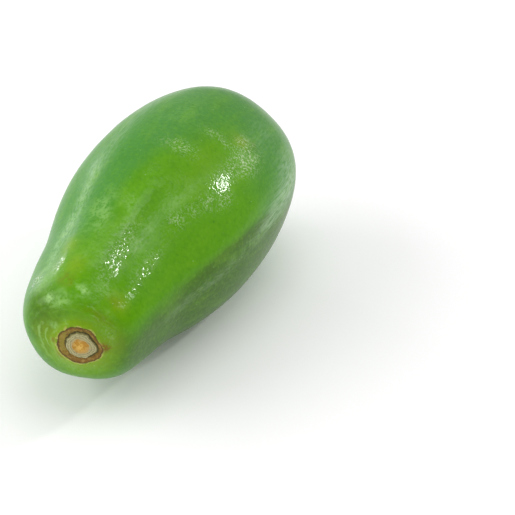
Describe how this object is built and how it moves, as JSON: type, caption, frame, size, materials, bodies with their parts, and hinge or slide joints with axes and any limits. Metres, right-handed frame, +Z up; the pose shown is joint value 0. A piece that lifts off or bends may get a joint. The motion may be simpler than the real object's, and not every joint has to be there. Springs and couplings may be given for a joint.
{
  "type": "green papaya",
  "caption": "Whole green papaya lying on its side: blunt stem end with a corky stalk scar, slight waist, full belly, five low lobes.",
  "frame": {"origin": "on the surface that the fruit lies on, under the middle of its bounding box", "axes": "+Z up, -Y towards the stem end with the stalk scar, +Y towards the blossom end"},
  "size_m": [0.1198, 0.2398, 0.1183],
  "materials": {
    "green_skin": "waxy green fruit skin with soft gloss, paler bloom and a dry brown stalk scar"
  },
  "bodies": {
    "root": {"papaya": "green_skin"}
  },
  "joints": []
}
